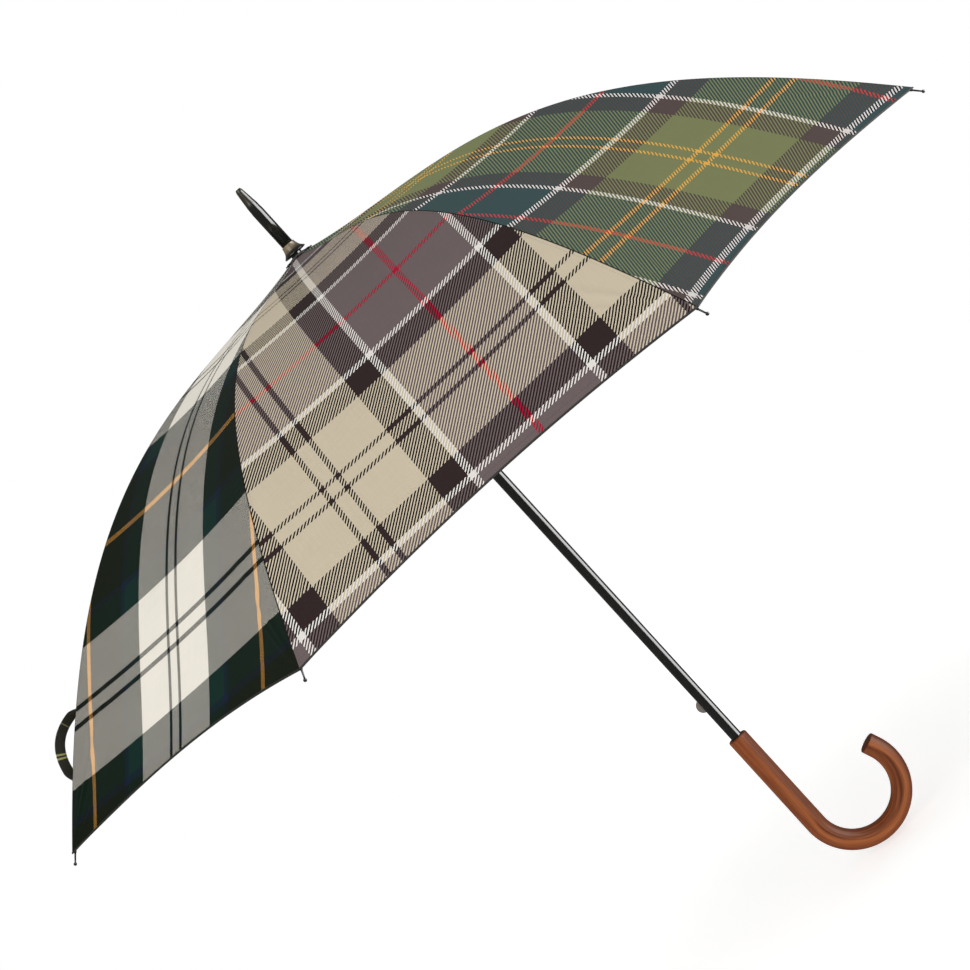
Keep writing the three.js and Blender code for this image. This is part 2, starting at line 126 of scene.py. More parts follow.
def make_camera():
    back = Vector((
        math.sin(CAMERA_TURN) * math.cos(CAMERA_RISE),
        -math.cos(CAMERA_TURN) * math.cos(CAMERA_RISE),
        math.sin(CAMERA_RISE),
    ))
    right = Vector((math.cos(CAMERA_TURN), math.sin(CAMERA_TURN), 0))
    up = back.cross(right)
    across = right * math.cos(CAMERA_ROLL) + up * math.sin(CAMERA_ROLL)
    rise = up * math.cos(CAMERA_ROLL) - right * math.sin(CAMERA_ROLL)
    data = bpy.data.cameras.new("camera")
    data.lens = 98.3
    data.sensor_width = 36
    camera = bpy.data.objects.new("camera", data)
    bpy.context.collection.objects.link(camera)
    camera.matrix_world = Matrix.Translation(CAMERA_TARGET + back * CAMERA_DISTANCE) @ Matrix(
        (across, rise, back)).transposed().to_4x4()
    bpy.context.scene.camera = camera
    return camera


camera = make_camera()
print("camera at", [round(value, 3) for value in camera.location])

# %% [markdown]
# ## Meshes from grids
# Nearly every piece here is a grid of points, rows by columns, joined into quads. One helper turns a
# grid into a mesh; it can wrap the columns into a tube and close the two end rings with a face. A
# second carries a flat section along a path, and a third sweeps rings of changing radius along a
# centre line, which covers turned work as well as a bent stick.

# %% Grid, sweep and ring helpers


def quads(rows, columns, wrapped, looped):
    """Corner numbers of each cell; wrapped joins the last column to the first, looped the last row."""
    i = np.arange(rows if looped else rows - 1)[:, None]
    j = np.arange(columns if wrapped else columns - 1)[None, :]
    below, beside = (i + 1) % rows, (j + 1) % columns
    cells = (i * columns + j, below * columns + j, below * columns + beside, i * columns + beside)
    return np.stack([np.broadcast_to(c, (i.size, j.size)) for c in cells], -1).reshape(-1, 4)


def grid_object(name, points, wrapped=False, capped=False, looped=False):
    """Mesh object of a (rows, columns, 3) grid; capped closes the first and last ring with a flat face."""
    rows, columns = points.shape[:2]
    faces = quads(rows, columns, wrapped, looped).tolist()
    if capped:
        faces.append(list(range(columns)))
        faces.append([(rows - 1) * columns + j for j in range(columns)][::-1])
    mesh = bpy.data.meshes.new(name)
    mesh.from_pydata(points.reshape(-1, 3), [], faces)
    smooth_faces = np.ones(len(faces), bool)
    if capped:
        smooth_faces[-2:] = False
    mesh.polygons.foreach_set("use_smooth", smooth_faces)
    mesh.update()
    item = bpy.data.objects.new(name, mesh)
    bpy.context.collection.objects.link(item)
    return item


def mark(item, name, values):
    """Gives every point of a piece a vector of its own for the shader to read."""
    attribute = item.data.attributes.new(name, "FLOAT_VECTOR", "POINT")
    attribute.data.foreach_set("vector", values.astype(np.float32).ravel())


def unit(vectors):
    """Vectors over their lengths."""
    return vectors / np.maximum(np.linalg.norm(vectors, axis=-1, keepdims=True), 1e-12)


def swept(name, path, section, up):
    """Bar along a path: each point plus the section's x along the side and its y along up."""
    along = unit(np.gradient(path, axis=0))
    side = unit(np.cross(along, up))
    lift = np.cross(side, along)
    points = path[:, None] + section[None, :, :1] * side[:, None] + section[None, :, 1:] * lift[:, None]
    return grid_object(name, points[:, ::-1], wrapped=True, capped=True)


def oval(width, height, count=12, power=2.0):
    """Closed section: a superellipse of that width and height, round at power 2, boxier above it."""
    angle = np.linspace(0, 2 * math.pi, count, endpoint=False)
    c, s = np.cos(angle), np.sin(angle)
    x = np.sign(c) * np.abs(c) ** (2 / power) * width / 2
    y = np.sign(s) * np.abs(s) ** (2 / power) * height / 2
    return np.stack([x, y], 1)


def rings(name, stations, radii, centre, sides):
    """Rings of changing radius round a centre line: centre(station) gives place, side and lift. Each
    point is marked with where it was on the straight, unbent stick."""
    angle = np.linspace(0, 2 * math.pi, sides, endpoint=False)
    place, side, lift = centre(np.asarray(stations, float))
    radii = np.asarray(radii, float)[:, None, None]
    circle = np.cos(angle)[None, :, None] * side[:, None] + np.sin(angle)[None, :, None] * lift[:, None]
    item = grid_object(name, place[:, None] + radii * circle, wrapped=True, capped=True)
    grain = np.empty((len(stations), sides, 3))
    grain[..., 0] = radii[..., 0] * np.cos(angle)
    grain[..., 1] = radii[..., 0] * np.sin(angle)
    grain[..., 2] = np.asarray(stations)[:, None]
    mark(item, "straight", grain)
    return item


def sheet_ring(name, upper, thickness):
    """Closed ring of thin cloth: the upper grid and the same grid lower down, joined at both rims."""
    lower = upper - np.array([0, 0, thickness])
    return grid_object(name, np.concatenate([upper, lower[::-1]]), wrapped=True, looped=True)


def upright(heights):
    """Centre line up the shaft's axis."""
    place = np.stack([0 * heights, 0 * heights, heights], 1)
    return place, np.tile([1.0, 0, 0], (len(heights), 1)), np.tile([0, 1.0, 0], (len(heights), 1))


def fillet(start, corner, end, steps=6):
    """Round corner: the quadratic curve from start to end that leaves and arrives along the corner."""
    t = np.linspace(0, 1, steps)[:, None]
    start, corner, end = (np.asarray(p, float) for p in (start, corner, end))
    return (1 - t) ** 2 * start + 2 * t * (1 - t) * corner + t**2 * end


print("helpers ready; an oval section has", len(oval(1, 1)), "points")

# %% [markdown]
# ## Shader arithmetic
# A procedural cloth is arithmetic on coordinates: fold a coordinate into a repeat, compare it with a
# stripe's edge, pick warp or weft. Written as Python expressions the formula stays readable, so a
# small class wraps a socket and each operator adds the Math node that it stands for.

# %% Sockets as values


class Value:
    """An output socket in a shader tree; arithmetic on it adds Math nodes and gives the new value."""

    def __init__(self, tree, socket):
        self.tree, self.socket = tree, socket

    def math(self, operation, *others):
        inputs = dict(enumerate((self, *others)))
        return self.tree.add("ShaderNodeMath", {"operation": operation}, inputs)

    def __add__(self, other):
        return self.math("ADD", other)

    __radd__ = __add__

    def __sub__(self, other):
        return self.math("SUBTRACT", other)

    def __rsub__(self, other):
        return self.tree.add("ShaderNodeMath", {"operation": "SUBTRACT"}, {0: other, 1: self})

    def __mul__(self, other):
        return self.math("MULTIPLY", other)

    __rmul__ = __mul__

    def __truediv__(self, other):
        return self.math("DIVIDE", other)

    def __rtruediv__(self, other):
        return self.tree.add("ShaderNodeMath", {"operation": "DIVIDE"}, {0: other, 1: self})

    def __lt__(self, other):
        return self.math("LESS_THAN", other)

    def __gt__(self, other):
        return self.math("GREATER_THAN", other)

    def __abs__(self):
        return self.math("ABSOLUTE")


class Finish:
    """A material under construction: its tree, one method for any node, and the surface shader."""

    def __init__(self, name, **surface):
        self.material = bpy.data.materials.new(name)
        self.material.use_nodes = True
        self.nodes = self.material.node_tree.nodes
        self.links = self.material.node_tree.links
        self.shader = self.nodes["Principled BSDF"]
        for key, value in surface.items():
            self.shader.inputs[key.replace("_", " ")].default_value = value

    def add(self, kind, settings=None, inputs=None, out=0):
        """Adds a node: settings first, a ramp's stops among them, then the sockets' values or links."""
        node = self.nodes.new(kind)
        for key, value in (settings or {}).items():
            if key == "stops":
                self.fill_ramp(node.color_ramp, value)
            else:
                setattr(node, key, value)
        for key, value in (inputs or {}).items():
            if isinstance(value, Value):
                self.links.new(value.socket, node.inputs[key])
            else:
                node.inputs[key].default_value = value
        return Value(self, node.outputs[out])

    @staticmethod
    def fill_ramp(ramp, stops):
        ramp.interpolation = stops[0]
        for i, (position, colour) in enumerate(stops[1]):
            stop = ramp.elements[i] if i < 2 else ramp.elements.new(position)
            stop.position = position
            stop.color = (*colour, 1)

    def place(self, name=None):
        """The piece's Object coordinates, its UV map or one of its attributes, as a vector."""
        if name is None:
            return self.add("ShaderNodeTexCoord", out="Object")
        if name == "UV":
            return self.add("ShaderNodeTexCoord", out="UV")
        return self.add("ShaderNodeAttribute", {"attribute_name": name}, out="Vector")

    def split(self, vector, axis):
        return self.add("ShaderNodeSeparateXYZ", inputs={0: vector}, out=axis)

    def stretch(self, vector, *scale):
        return self.add("ShaderNodeVectorMath", {"operation": "MULTIPLY"}, {0: vector, 1: scale})

    def length(self, vector):
        return self.add("ShaderNodeVectorMath", {"operation": "LENGTH"}, {0: vector}, out=1)

    def noise(self, vector, scale, detail=4.0, roughness=0.55):
        """Noise over a vector; a scale of three numbers draws it out along the axes."""
        if isinstance(scale, tuple):
            vector, scale = self.stretch(vector, *scale), 1.0
        inputs = {"Vector": vector, "Scale": scale, "Detail": detail, "Roughness": roughness}
        return self.add("ShaderNodeTexNoise", inputs=inputs)

    def ramp(self, value, low, high):
        """Value from low to high mapped to 0 to 1 and held there."""
        inputs = {"Value": value, "From Min": low, "From Max": high}
        return self.add("ShaderNodeMapRange", {"clamp": True}, inputs)

    def mix(self, factor, a, b, blend="MIX"):
        settings = {"data_type": "RGBA", "blend_type": blend}
        a, b = ((*c, 1) if isinstance(c, tuple) and len(c) == 3 else c for c in (a, b))
        return self.add("ShaderNodeMix", settings, {0: factor, 6: a, 7: b}, out=2)

    def deepen(self, middle, colour, amount):
        """Colour moved away from a middle: middle plus amount times the difference, held in 0 to 1."""
        settings = {"data_type": "RGBA", "clamp_factor": False, "clamp_result": True}
        return self.add("ShaderNodeMix", settings, {0: amount, 6: middle, 7: colour}, out=2)

    def surface(self, **sockets):
        """Links values that vary over the surface to the shader; height goes through a Bump node."""
        height = sockets.pop("height", None)
        if height is not None:
            strength, distance, value = height
            inputs = {"Strength": strength, "Distance": distance, "Height": value}
            sockets["Normal"] = self.add("ShaderNodeBump", inputs=inputs)
        for key, value in sockets.items():
            self.links.new(value.socket, self.shader.inputs[key.replace("_", " ")])
        return self.material


def shade(red, green, blue):
    """Linear colour from display values of 0 to 255: the display curve undone."""
    values = np.array([red, green, blue]) / 255
    linear = np.where(values < 0.04045, values / 12.92, ((values + 0.055) / 1.055) ** 2.4)
    return tuple(float(value) for value in linear)


print("mid grey in linear light:", round(shade(128, 128, 128)[0], 3))

# %% [markdown]
# ## Check cloths
# Each gore is cut from a different check, woven on one plan: a pale field with a pair of fine lines, a
# dark band, a light line, and a ground with one bright line, mirrored and repeated. The same plan runs
# in the warp, down the gore, and in the weft, across it. Where two colours cross, a twill shows them
# as diagonal hatching; where a colour crosses itself it is solid. So the material folds each
# coordinate into half a repeat, looks its thread's colour up in a ramp with hard stops, and lets a
# diagonal stripe pick warp or weft. A painted image could do it too, but would blur close up.

# %% The weaving plan
REPEAT = 0.316
PAIR_SPACING = 0.0083
LINE_HALF = 0.0026
FIELD_HALF = 0.0625
BAND_END = 0.0895
EDGE_LINE_END = 0.0965
CENTRE_LINE_HALF = 0.0037
HATCH = 0.00405
FINE_HATCH = 0.0026
FINE_SHARE = 0.265
SHARE = 0.45
DEPTH = 1.18
FOLD_LINES = ((0.14, 0.41), (0.17, 0.422))


def thread_stops(field, pair, band, edge, ground, line):
    """Hard stops from the field's middle to the ground's middle, as shares of half a repeat."""
    edges = [0, PAIR_SPACING - LINE_HALF, PAIR_SPACING + LINE_HALF, FIELD_HALF, BAND_END, EDGE_LINE_END,
             REPEAT / 2 - CENTRE_LINE_HALF]
    colours = [field, pair, field, band, edge, ground, line]
    return ("CONSTANT", [(edge_at / (REPEAT / 2), colour) for edge_at, colour in zip(edges, colours)])


def thread_colour(finish, coordinate, shift, stops):
    """Colour of the thread at a coordinate: its distance from the nearest field's middle, looked up."""
    turns = (coordinate - shift) / REPEAT + 0.5
    distance = abs(turns.math("FRACT") - 0.5) * 2
    return finish.add("ShaderNodeValToRGB", {"stops": stops}, {0: distance})


def check_cloth(name, threads, warp_shift, weft_shift, hatch=HATCH, share=SHARE):
    """Twill check: each diagonal stripe shows warp for one share, weft for one share, then the darker of the
    two as painted shade between the raised threads."""
    finish = Finish(name, Sheen_Weight=0.03, Sheen_Roughness=0.5, Specular_IOR_Level=0.06)
    uv = finish.place("UV")
    warp_at, weft_at = finish.split(uv, 0), finish.split(uv, 1)
    stops = thread_stops(*threads)
    warp = thread_colour(finish, warp_at, warp_shift, stops)
    weft = thread_colour(finish, weft_at, weft_shift, stops)
    edges = finish.place("edges")
    diagonal = ((warp_at + weft_at) / hatch).math("FRACT")
    cloth = finish.mix(diagonal < share, weft, warp)
    # Painted shade in the hatch: where warp and weft differ, the darker thread is pushed darker and the
    # lighter one lighter, and the last part of each stripe takes the darker of the two.
    cloth = finish.deepen(finish.mix(0.5, warp, weft), cloth, DEPTH)
    cloth = finish.mix(diagonal > 2 * share, cloth, finish.mix(1.0, warp, weft, "DARKEN"))
    warp_streaks = finish.noise(uv, (900, 25, 1), 2.0)
    weft_streaks = finish.noise(uv, (25, 900, 1), 2.0)
    blotches = finish.noise(uv, 14.0, 3.0)
    tone = 0.86 + warp_streaks * 0.1 + weft_streaks * 0.1 + blotches * 0.08
    grey = finish.add("ShaderNodeCombineColor", inputs={0: tone, 1: tone, 2: tone})
    cloth = finish.mix(1.0, cloth, grey, "MULTIPLY")
    seam = finish.ramp(finish.split(edges, 0), 0.0009, 0.0004)
    stitches = (finish.split(edges, 1) / 0.003).math("FRACT") < 0.55
    seam_row = (abs(finish.split(edges, 0) - 0.0032) < 0.00035) * stitches
    hem_stitches = (warp_at / 0.003).math("FRACT") < 0.6
    hem_row = (abs(finish.split(edges, 1) - 0.0065) < 0.0004) * hem_stitches
    rows = seam_row.math("MAXIMUM", hem_row)
    dark = seam.math("MAXIMUM", rows * 0.2)
    cloth = finish.mix(dark, cloth, (0.006, 0.006, 0.005))
    ribs = ((warp_at + weft_at) / 0.0011 * 2 * math.pi).math("SINE")
    pucker = finish.noise(uv, (60, 60, 1), 3.0)
    height = ribs * 0.15 + pucker * 0.25 - rows * 0.5 - seam * 1.0 + warp_streaks * 0.3
    for slant, offset in FOLD_LINES:
        from_fold = weft_at + warp_at * slant - offset + (pucker - 0.5) * 0.004
        bell = 1 / (1 + from_fold * from_fold / 0.0000012)
        patch = finish.ramp(finish.noise(uv, (9, 9, 1), 2.0), 0.45, 0.6)
        height = height + bell * patch * 1.6
    rough = 0.66 + blotches * 0.14
    return finish.surface(Base_Color=cloth, Roughness=rough, height=(0.35, 0.0004, height))


def palette(*colours):
    """Linear colours of field, pair, band, edge line, ground and centre line, in that order."""
    return [shade(*colour) for colour in colours]


STONE = palette((188, 176, 154), (44, 32, 31), (44, 32, 31), (214, 210, 204), (100, 88, 88), (160, 0, 44))
MOSS = palette((122, 128, 84), (232, 172, 70), (84, 70, 66), (226, 220, 216), (52, 76, 78), (194, 60, 60))
DRESS = palette((222, 217, 205), (8, 12, 20), (4, 38, 32), (10, 22, 48), (10, 20, 4), (206, 146, 60))
DUSK = palette((22, 30, 44), (196, 190, 110), (18, 44, 34), (16, 30, 36), (24, 22, 18), (150, 146, 84))
FINE = (FINE_HATCH, FINE_SHARE)
CLOTHS = {
    6: check_cloth("stone_check", STONE, -0.100, 0.472),
    7: check_cloth("moss_check", MOSS, 0.027, 0.478),
    5: check_cloth("dress_check", DRESS, 0.004, 0.470, *FINE),
    8: check_cloth("dusk_check", DUSK, 0.060, 0.474),
    2: check_cloth("stone_check_turned", STONE, 0.075, 0.474),
    3: check_cloth("moss_check_turned", MOSS, -0.052, 0.470),
    1: check_cloth("dress_check_turned", DRESS, -0.034, 0.476, *FINE),
    4: check_cloth("dusk_check_turned", DUSK, -0.060, 0.468),
}
print("cloths:", ", ".join(sorted(cloth.name for cloth in CLOTHS.values())))

# %% [markdown]
# ## The canopy
# A gore is stretched between two ribs, so across it the threads run nearly straight, and down it they
# follow the ribs. Tension draws its middle inward, more towards the hem, and pulls a few sharp creases
# out of each corner. The surface is therefore the straight chord between two rib lines, less a dish,
# plus creases that fan from the corners, and its exact normals come from the same grid.
# To fold with the frame, each gore is made in eight pieces, split at its middle, at the elbow and once more
# on each side of the elbow, so that each piece follows the bend of its stretch of rib. Each piece rides on
# the rib or spring end that carries it. The splits are invisible at rest, because neighbouring pieces share
# points and normals.
# The points where the gores meet stay with the shaft: they end under a small patch at the crown.

# %% A gore's surface
CREASES = ((8.0, 0.0011, 0.12), (13.0, 0.0011, 0.13), (18.5, 0.0009, 0.11), (27.0, 0.0006, 0.07),
           (38.0, 0.0007, 0.06), (52.0, 0.0006, 0.05))
CREASE_WIDTH = math.radians(1.9)
INNER_ROWS = 40
OUTER_ROWS = 130
GORE_COLUMNS = 144


def creases(across, radius, flat_x, flat_y, corner):
    """Ridges that run out of a corner: bell curves of the angle from the rib, fading with distance."""
    dx, dy = corner[0] - np.abs(flat_x), corner[1] - flat_y
    distance = np.hypot(dx, dy)
    rib_angle = math.atan2(corner[0], corner[1])
    angle = np.arctan2(dx, np.maximum(dy, 1e-6)) - rib_angle
    side = np.sign(flat_x)
    ridge = np.zeros_like(distance)
    for i, (degrees, height, reach) in enumerate(CREASES):
        lean = math.radians(degrees * (1 + 0.13 * math.sin(5 * i + 2)))
        lean = lean + 0.03 * side * math.cos(3 * i)
        bell = np.exp(-(((angle - lean) / CREASE_WIDTH) ** 2))
        fade = np.exp(-((distance / reach) ** 2)) * (1 - np.exp(-distance / 0.02))
        ridge += height * bell * fade
    held = 1 - np.exp(-(1 - np.abs(across)) * radius * math.sin(HALF_BAY) / 0.006)
    return ridge * held


def gore_grid():
    """Arrays over one gore in its own frame: points, flat coordinates, distances to seam and hem, share
    of the way down and share across. A point is the chord between the ribs, less the dish, plus the
    creases, moved along the cloth's normal; rows run from the patch to the elbow and on to the hem."""
    across = np.linspace(-1, 1, GORE_COLUMNS + 1)[None, :]
    hem = CORNER_RADIUS - HEM_TRIM * (1 - across**2)
    inner = np.linspace(0, 1, INNER_ROWS + 1)[:, None]
    outer = np.linspace(0, 1, OUTER_ROWS + 1)[1:, None]
    radius = np.concatenate([
        PATCH_RADIUS + (ELBOW_RADIUS - PATCH_RADIUS) * inner + 0 * across,
        ELBOW_RADIUS + (hem - ELBOW_RADIUS) * outer,
    ])
    across = np.broadcast_to(across, radius.shape)
    fine = np.linspace(CROWN_HOLE, CORNER_RADIUS, 2000)
    steps = np.hypot(math.cos(HALF_BAY) * np.diff(fine), np.diff(cloth_height(fine)))
    length = np.concatenate([[0], np.cumsum(steps)])
    flat_x = across * radius * math.sin(HALF_BAY)
    flat_y = np.interp(radius, fine, length)
    slope = cloth_slope(radius)
    dish = DISH * (radius / CORNER_RADIUS) ** DISH_POWER * (1 - across**2)
    corner = (CORNER_RADIUS * math.sin(HALF_BAY), length[-1])
    lift = creases(across, radius, flat_x, flat_y, corner) - dish
    points = np.stack([
        radius * math.cos(HALF_BAY) + lift * np.sin(slope),
        flat_x,
        cloth_height(radius) + lift * np.cos(slope),
    ], -1)
    seam = (1 - np.abs(across)) * radius * math.sin(HALF_BAY)
    to_hem = np.interp(hem + 0 * radius, fine, length) - flat_y
    return points, flat_x, flat_y, seam, to_hem, radius / CORNER_RADIUS, across


GORE, FLAT_X, FLAT_Y, TO_SEAM, TO_HEM, DOWN_SHARE, ACROSS = gore_grid()
GORE_NORMALS = unit(np.cross(np.gradient(GORE, axis=0), np.gradient(GORE, axis=1)))
print("gore:", GORE.shape[:2], "points,", round(float(FLAT_Y.max()), 3), "m long")

# %% [markdown]
# ## Eight pieces from a gore
# The pieces are cut out of the gore's grid by rows and columns, turned to their bay, and given the flat
# coordinates as a UV map in metres, with the distances to seam and hem as a second attribute for the
# stitching. The area of every piece is added up and printed.

# %% Cloth pieces


def turn(points, angle):
    """Points turned about the shaft's axis."""
    c, s = math.cos(angle), math.sin(angle)
    return points @ np.array([[c, s, 0], [-s, c, 0], [0, 0, 1]])


def rib_number(number, side):
    """The rib at a gore's near side, -1, or far side, +1."""
    return number if side < 0 else number % RIBS + 1


PARTS = ("top", "inner", "outer", "hem")
PART_ROWS = (0, 23, INNER_ROWS, 105, INNER_ROWS + OUTER_ROWS)
FOLDS = {
    "top": ("rib", 0.09, 4.5, 0.11),
    "inner": ("rib", 0.215, 7.7, 0.09),
    "outer": ("rib_end", 0.34, 17.0, 0.08),
    "hem": ("rib_end", 0.48, 16.5, 0.045),
}


def fold_with(item, number, side, part):
    """Rides on the part's body. It works out the way the piece would gather towards the rib, the rib's
    tangent leaned into the cloth's normal because a gore's middle lies inside its ribs, but does not use it."""
    body, radius, degrees, keep = FOLDS[part]
    lean = math.radians(degrees)
    rib = rib_number(number, side)
    angle = (2 * rib - 1) * HALF_BAY
    slope = float(cloth_slope(radius))
    gather = np.array([[-math.sin(lean) * math.sin(slope), -side * math.cos(lean),
                        -math.sin(lean) * math.cos(slope)]])
    seam_point = np.array([[radius, 0, float(cloth_height(radius))]])
    axis, anchor = (tuple(float(v) for v in turn(row, angle)[0]) for row in (gather, seam_point))
    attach(item, f"{body}_{rib}")
    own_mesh(item)


DRIFT_LIKE = {1: 5, 2: 6, 3: 7, 5: 5, 6: 6, 7: 7}
DRIFT = {
    5: ((-4.5, 0, -2.0, 38.0, 0, -22.0), (-4.1, -0.5, 0.8, 7.5, 1.9, -9.0)),
    6: ((0.1, -0.6, 0.2, 2.5, 0.4, -0.6), (2.2, -2.9, -0.8, 14.0, 3.5, -15.0)),
    7: ((0, 0, 0, 0, 0, 0), (0, 0, 0, 9.0, 0, -22.0)),
}


def threads(number):
    """Where the threads lie: the flat coordinates plus a drift in millimetres, a sum of powers of the
    share of the way down the gore (0, 2, 4 and 10) and of the share across it."""
    if number not in DRIFT_LIKE:
        return FLAT_X, FLAT_Y
    powers = (1, DOWN_SHARE**2, DOWN_SHARE**4, DOWN_SHARE**10, ACROSS, ACROSS**2 * DOWN_SHARE**8)
    over, down = (sum(factor * power for factor, power in zip(factors, powers)) / 1000
                  for factors in DRIFT[DRIFT_LIKE[number]])
    return FLAT_X + over, FLAT_Y + down


def half_columns(side):
    """The columns of a gore's near half, -1, or far half, +1; both have the middle one."""
    middle = GORE_COLUMNS // 2
    return slice(0, middle + 1) if side < 0 else slice(middle, None)


def piece_name(kind, number, side):
    return f"{kind}_{number}_{'near' if side < 0 else 'far'}"


def cloth_piece(number, side, part):
    """One part of half a gore: its rows and columns of the gore's grid, turned to the gore's bay. It
    carries the thread coordinates as UV, and the distances to seam and hem as marks."""
    place = PARTS.index(part)
    cut = (slice(PART_ROWS[place], PART_ROWS[place + 1] + 1), half_columns(side))
    angle = 2 * number * HALF_BAY
    item = grid_object(f"{piece_name('cloth', number, side)}_{part}", turn(GORE[cut], angle))
    mesh = item.data
    corners = np.empty(len(mesh.loops), np.int32)
    mesh.loops.foreach_get("vertex_index", corners)
    woven = np.stack([thread[cut].ravel() for thread in threads(number)], 1)
    mesh.uv_layers.new(name="UVMap").data.foreach_set("uv", woven[corners].astype(np.float32).ravel())
    mark(item, "edges", np.stack([TO_SEAM[cut], TO_HEM[cut], 0 * TO_HEM[cut]], -1))
    mesh.normals_split_custom_set_from_vertices(turn(GORE_NORMALS[cut], angle).reshape(-1, 3))
    mesh.materials.append(CLOTHS[number])
    area = sum(face.area for face in mesh.polygons)
    fold_with(item, number, side, part)
    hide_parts(f"panel_{number}")
    return area


def canopy():
    areas = [cloth_piece(number, side, part) for number in range(1, RIBS + 1)
             for side in (-1, 1) for part in PARTS]
    print("canopy:", len(areas), "pieces,", round(sum(areas), 3), "square metres of cloth")


canopy()

# %% [markdown]
# ## Hem
# The gores' free edge is turned under and overlocked with dark thread, which draws a thin dark line
# round the canopy. A slim flattened cord along the edge gives that line its thickness.

# %% Hem
HEM_CORD = (0.0022, 0.0013)
HEM_SINK = 0.0003
THREAD = Finish("overlock_thread", Roughness=0.8)
thread_at = THREAD.place()
twist = THREAD.noise(thread_at, 1400, 2.0)
THREAD.surface(
    Base_Color=THREAD.mix(twist, (0.004, 0.005, 0.004), (0.03, 0.03, 0.022)),
    height=(0.5, 0.0003, twist),
)


def hem_piece(number, side):
    """Flattened cord along half a gore's last row, its width lying in the cloth."""
    edge = (-1, half_columns(side))
    angle = 2 * number * HALF_BAY
    path = turn(GORE[edge], angle)
    normals = turn(GORE_NORMALS[edge], angle)
    item = swept(piece_name("hem", number, side), path - normals * HEM_SINK, oval(*HEM_CORD), normals)
    item.data.materials.append(THREAD.material)
    fold_with(item, number, side, "hem")


for number in range(1, RIBS + 1):
    for side in (-1, 1):
        hem_piece(number, side)
print("hem:", 2 * RIBS, "pieces")

# %% [markdown]
# ## Tie strap
# A short woven band holds the cloth when it is furled. It is sewn to one gore near the hem and, with
# the canopy open, hangs in a loose bow turned half on edge. A ribbon is woven much tighter than the
# cloth, with its own fine ribs and pale stripes near one end, so it gets a material of its own. The
# band is a thin flat section swept along the bow.

# %% Strap
STRAP_GORE = 4
STRAP_ACROSS = 0.88
STRAP_ENDS = (0.463, 0.511)
STRAP_STAND = 0.016
STRAP_TWIST = math.radians(55)
STRAP_SIZE = (0.0104, 0.0011)


def strap_finish():
    """Ribbon: sine ribs across its length, two pale stripes, and a stitched line near each edge."""
    finish = Finish("strap_ribbon", Sheen_Weight=0.3, Sheen_Roughness=0.4)
    flat = finish.place("straight")
    across, along = finish.split(flat, 0), finish.split(flat, 2)
    ribs = (along / 0.0009 * 2 * math.pi).math("SINE")
    threads = finish.noise(flat, (2500, 2500, 200), 2.0)
    stripes = (abs(along - 0.0480) < 0.0009).math("MAXIMUM", abs(along - 0.0515) < 0.0009)
    stripes = stripes.math("MAXIMUM", (abs(along - 0.0200) < 0.0005) * 0.5)
    ground = finish.mix(threads, (0.008, 0.008, 0.005), (0.04, 0.036, 0.02))
    colour = finish.mix(stripes, ground, shade(176, 170, 104))
    stitch = (abs(abs(across) - 0.0038) < 0.0003) * ((along / 0.0024).math("FRACT") < 0.6)
    colour = finish.mix(stitch * 0.7, colour, (0.002, 0.002, 0.002))
    height = ribs * 0.3 + threads * 0.5 - stitch
    return finish.surface(Base_Color=colour, Roughness=0.6 + threads * 0.25, height=(0.5, 0.0003, height))


def dished(across, radius, lift):
    """Point over a gore: the chord between its ribs, less the dish, plus a lift, along the normal."""
    slope = cloth_slope(radius)
    lift = lift - DISH * (radius / CORNER_RADIUS) ** DISH_POWER * (1 - across**2)
    return np.array([
        radius * math.cos(HALF_BAY) + lift * math.sin(slope),
        across * radius * math.sin(HALF_BAY),
        cloth_height(radius) + lift * math.cos(slope),
    ])


def strap():
    """Bow: straight from end to end, plus a rise of sine to the 0.8, its side turned by the twist."""
    start, end = (dished(STRAP_ACROSS, radius, 0) for radius in STRAP_ENDS)
    slope = float(cloth_slope(sum(STRAP_ENDS) / 2))
    outward = np.array([math.sin(slope), 0, math.cos(slope)])
    t = np.linspace(0, 1, 97)[:, None]
    arch = np.sin(math.pi * t)
    path = start + (end - start) * t + outward * (0.002 + STRAP_STAND * arch**0.8)
    along = unit(np.gradient(path, axis=0))
    twist = STRAP_TWIST * np.minimum(1, 3 * arch)
    level = np.array([0, 1.0, 0])
    up = np.cross(level, along) * np.cos(twist) + level * np.sin(twist)
    section = oval(*STRAP_SIZE, count=32, power=5)
    angle = 2 * STRAP_GORE * HALF_BAY
    item = swept("strap_band", turn(path, angle), section, turn(up, angle))
    length = np.concatenate([[0], np.cumsum(np.linalg.norm(np.diff(path, axis=0), axis=1))])
    flat = np.zeros((len(path), len(section), 3))
    flat[..., :2] = section[::-1]
    flat[..., 2] = length[:, None]
    mark(item, "straight", flat)
    item.data.materials.append(strap_finish())
    fold_with(item, STRAP_GORE, 1, "hem")
    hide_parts("tie_strap")


strap()

# %% [markdown]
# ## Wooden handle
# The crook is one stick, steamed and bent, then stained reddish brown and varnished. Its grain runs
# with the stick round the bend. The sweep keeps, for every point, its place on the straight stick
# before bending; the grain is noise in that straightened space, so it follows the bend like real wood.

# %% Handle
HANDLE_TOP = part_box("handle")[1][2]
HANDLE_RADIUS = 0.0106
CROOK_START = HANDLE_TOP - 0.1172
CROOK_RADIUS = 0.0485
CROOK_TURN = math.radians(201)
CROOK_RUN = 0.010
STICK_LENGTH = HANDLE_TOP - CROOK_START + CROOK_RADIUS * CROOK_TURN + CROOK_RUN
BORE_RADIUS = 0.00635
BORE_FOOT = HANDLE_TOP - 0.076


